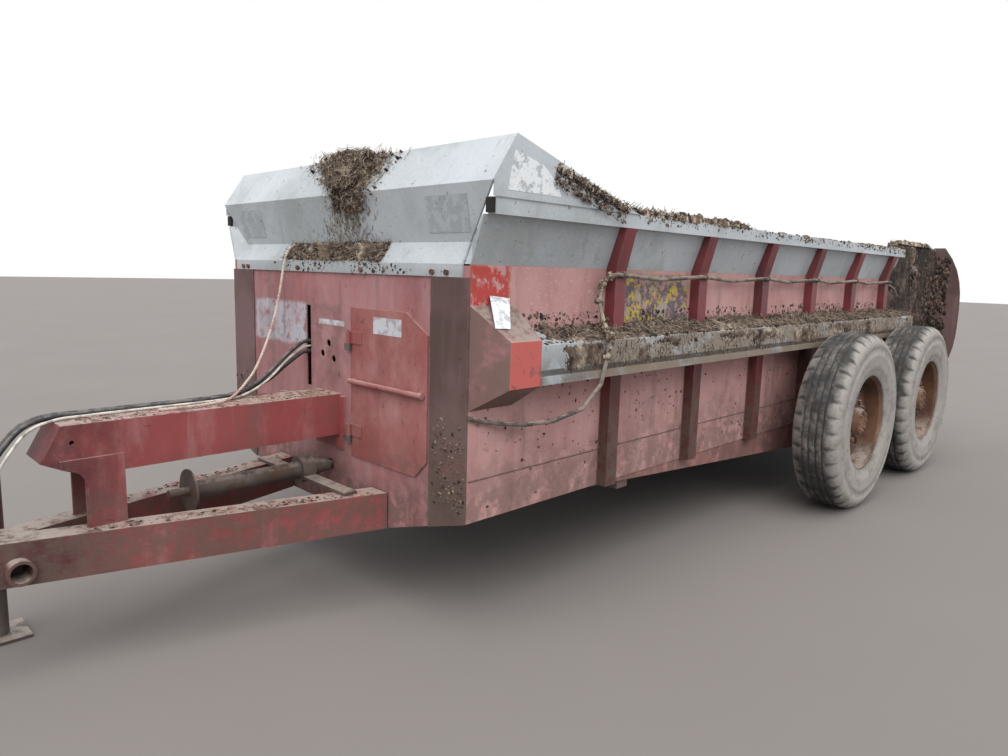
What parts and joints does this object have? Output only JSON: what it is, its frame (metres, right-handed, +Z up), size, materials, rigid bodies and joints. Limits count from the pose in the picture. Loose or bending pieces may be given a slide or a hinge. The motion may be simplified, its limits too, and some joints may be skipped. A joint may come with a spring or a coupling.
{
  "type": "tandem axle rear discharge manure spreader",
  "caption": "Towed tandem axle box spreader with flared sides, apron chain floor, rear beaters, drawbar with driveline and parking jack.",
  "frame": {"origin": "on the ground, midway between the hitch tip and the rear flanges and midway between the tyres' outer faces", "axes": "+X forward to the hitch, +Y to the machine's left side, +Z up"},
  "size_m": [7.43, 2.702, 1.844],
  "materials": {
    "faded_red": "faded paint",
    "red_paint": "worn paint",
    "dark_red": "worn paint",
    "brown_red": "muddy paint",
    "galvanised": "weathered zinc",
    "steel": "dull worn steel",
    "machine_grey": "dull paint",
    "rust": "rust and mud",
    "tyre": "dusty rubber",
    "hose": "satin rubber",
    "cable": "pale sheath",
    "rope": "twisted rope",
    "coupler": "dull plated steel"
  },
  "bodies": {
    "root": {"side_walls": "faded_red", "sills": "faded_red", "front_panel": "red_paint", "ledge_noses": "red_paint", "tongue_rails": "red_paint", "tongue_beam": "red_paint", "ribs": "dark_red", "hitch": "dark_red", "housing_sides": "dark_red", "chain_guard": "dark_red", "corner_posts": "brown_red", "main_rails": "brown_red", "cross_beams": "brown_red", "floor_beams": "brown_red", "rear_flanges": "brown_red", "rear_ties": "brown_red", "flares": "galvanised", "front_flare": "galvanised", "ledges": "galvanised", "bulkhead": "galvanised", "top_rails": "galvanised", "floor": "steel", "apron": "steel", "apron_shafts": "steel", "pivot_axle": "steel", "door_hinges": "steel", "shaft_bracket": "steel", "bearings": "steel", "gearbox": "machine_grey", "apron_motor": "machine_grey", "walking_beams": "rust", "side_hoses": "hose", "hose_one": "hose", "hose_two": "hose", "cable": "cable", "rope": "rope", "cord_ends": "coupler"},
    "wheel_fl": {"tyre_front_left": "tyre", "wheel_front_left": "rust"},
    "wheel_rl": {"tyre_rear_left": "tyre", "wheel_rear_left": "rust"},
    "wheel_fr": {"tyre_front_right": "tyre", "wheel_front_right": "rust"},
    "wheel_rr": {"tyre_rear_right": "tyre", "wheel_rear_right": "rust"},
    "lower_rotor": {"lower_beater": "dark_red"},
    "upper_rotor": {"upper_beater": "dark_red"},
    "input_shaft": {"driveline": "steel"},
    "front_door": {"door": "faded_red"},
    "parking_jack": {"jack_tube": "dark_red"},
    "jack_foot": {"jack_leg": "steel"}
  },
  "joints": [
    {"name": "wheel_front_left_spin", "type": "hinge", "parent": "root", "child": "wheel_fl", "pos_m": [-0.953, 1.2115, 0.535], "axis": [0, 1, 0], "continuous": true},
    {"name": "wheel_front_right_spin", "type": "hinge", "parent": "root", "child": "wheel_fr", "pos_m": [-0.953, -1.2115, 0.535], "axis": [0, 1, 0], "continuous": true},
    {"name": "wheel_rear_left_spin", "type": "hinge", "parent": "root", "child": "wheel_rl", "pos_m": [-2.217, 1.2115, 0.535], "axis": [0, 1, 0], "continuous": true},
    {"name": "wheel_rear_right_spin", "type": "hinge", "parent": "root", "child": "wheel_rr", "pos_m": [-2.217, -1.2115, 0.535], "axis": [0, 1, 0], "continuous": true},
    {"name": "driveline_spin", "type": "hinge", "parent": "root", "child": "input_shaft", "pos_m": [2.5, 0, 0.508], "axis": [1, 0, 0], "continuous": true},
    {"name": "lower_beater_spin", "type": "hinge", "parent": "root", "child": "lower_rotor", "pos_m": [-3.135, 0, 0.93], "axis": [0, 1, 0], "continuous": true},
    {"name": "upper_beater_spin", "type": "hinge", "parent": "root", "child": "upper_rotor", "pos_m": [-3.055, 0, 1.462], "axis": [0, 1, 0], "continuous": true},
    {"name": "door_swing", "type": "hinge", "parent": "root", "child": "front_door", "pos_m": [1.957, 0.173, 0.9], "axis": [0, 0, -1], "range_deg": [0, 100]},
    {"name": "jack_swing", "type": "hinge", "parent": "root", "child": "parking_jack", "pos_m": [3.152, -0.3, 0.38], "axis": [0, 1, 0], "range_deg": [0, 90]},
    {"name": "jack_slide", "type": "slide", "parent": "parking_jack", "child": "jack_foot", "axis": [0, 0, 1], "range_m": [-0.08, 0.18]}
  ],
  "couplings": [
    {"joint": "lower_beater_spin", "follows": "driveline_spin", "ratio": 0.6},
    {"joint": "upper_beater_spin", "follows": "driveline_spin", "ratio": 0.75}
  ]
}
